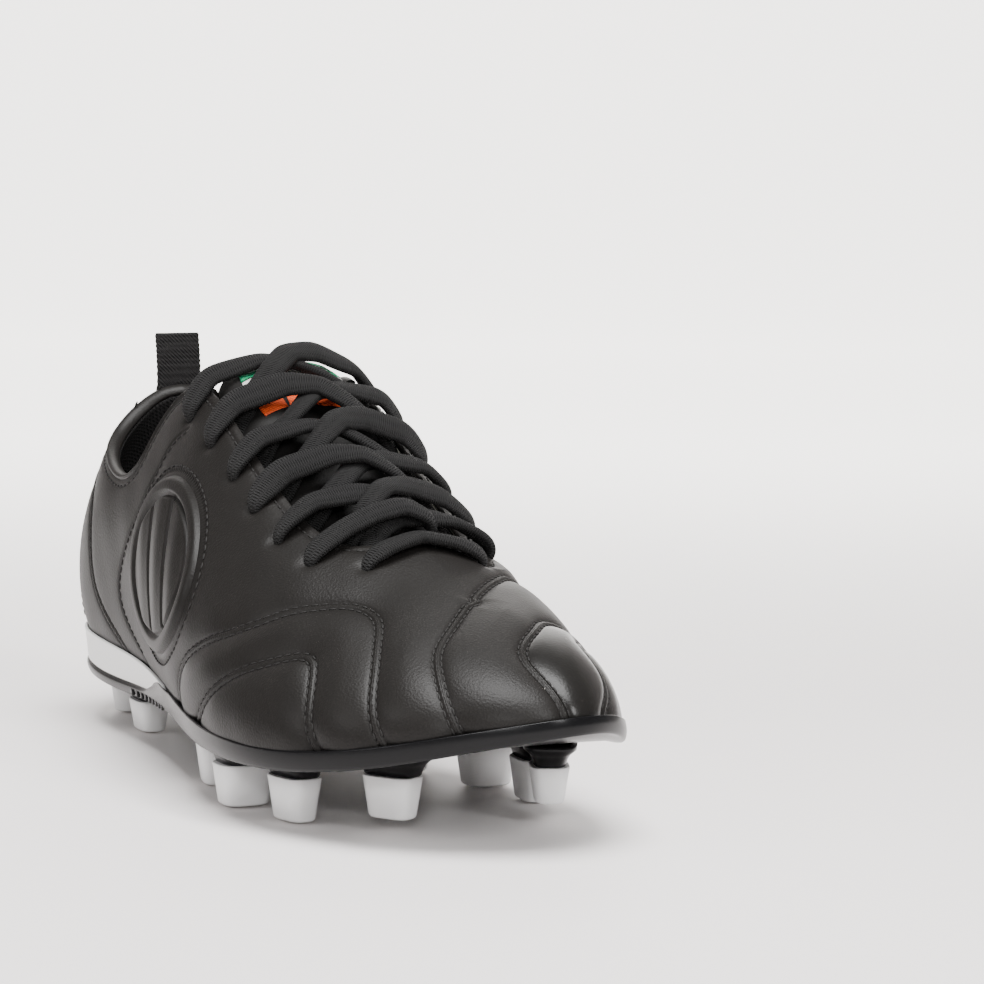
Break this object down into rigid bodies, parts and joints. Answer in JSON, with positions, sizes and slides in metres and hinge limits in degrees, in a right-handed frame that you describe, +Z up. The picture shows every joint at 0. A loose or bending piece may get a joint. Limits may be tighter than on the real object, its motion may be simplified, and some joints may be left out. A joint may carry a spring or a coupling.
{
  "type": "soccer cleat",
  "caption": "Black leather firm-ground soccer boot with stitched vamp panels, crossed lacing, a black sole plate, a white heel wedge and white tapered studs.",
  "frame": {"origin": "middle of the bounding box, at the ground under the stud tips", "axes": "+X towards the toe, +Y towards the wearer's left (the medial side of this right boot), +Z up"},
  "size_m": [0.2834, 0.1014, 0.1226],
  "materials": {
    "leather": "semi-gloss fine grain",
    "binding": "satin",
    "webbing": "matte ribbed",
    "lace": "matte woven",
    "aglet": "gloss",
    "lining": "matte mesh",
    "sockliner": "matte",
    "board": "matte",
    "stiffener": "matte",
    "stay": "satin",
    "plate_black": "gloss",
    "stud_white": "satin",
    "wedge_white": "gloss",
    "tab_green": "matte",
    "tab_white": "matte",
    "tab_red": "matte"
  },
  "bodies": {
    "boot": {"vamp_quarter_lateral": "leather", "quarter_medial": "leather", "vamp_lateral_inner": "leather", "vamp_lateral_outer": "leather", "vamp_medial_rear": "leather", "vamp_medial_front": "leather", "toe_medial": "leather", "heel_panel_lateral": "leather", "heel_panel_medial": "leather", "backstay": "leather", "collar_binding": "binding", "heel_counter": "stiffener", "toe_puff": "stiffener", "lining": "lining", "eyestay_lateral": "stay", "eyestay_medial": "stay", "heel_wedge": "wedge_white", "stud_front_lateral": "stud_white", "stud_front_medial": "stud_white", "stud_second_lateral": "stud_white", "stud_second_medial": "stud_white", "stud_third_lateral": "stud_white", "stud_third_medial": "stud_white", "stud_rear_lateral": "stud_white", "stud_rear_medial": "stud_white", "stud_heel_lateral": "stud_white", "stud_heel_medial": "stud_white", "stud_back_lateral": "stud_white", "stud_back_medial": "stud_white", "outsole_plate": "plate_black", "insole_board": "board", "pull_tab_anchor": "webbing", "side_pad_lateral": "leather", "side_pad_medial": "leather", "lace": "lace", "aglet_lateral": "aglet", "aglet_medial": "aglet"},
    "tongue": {"tongue_leather": "leather", "tongue_lining": "lining", "tab_green": "tab_green", "tab_white": "tab_white", "tab_red": "tab_red"},
    "pull_tab": {"pull_tab": "webbing"},
    "sockliner": {"sockliner": "sockliner"}
  },
  "joints": [
    {"name": "tongue_fold", "type": "hinge", "parent": "boot", "child": "tongue", "pos_m": [0.06555, 0.00647, 0.063], "axis": [0, 1, 0], "range_deg": [-8, 0]},
    {"name": "pull_tab_fold", "type": "hinge", "parent": "boot", "child": "pull_tab", "pos_m": [-0.12435, 0.00647, 0.10267], "axis": [0, 1, 0], "range_deg": [-60, 0]},
    {"name": "sockliner_lift", "type": "hinge", "parent": "boot", "child": "sockliner", "pos_m": [0.13755, 0.00647, 0.0355], "axis": [0, 1, 0], "range_deg": [0, 2]}
  ]
}
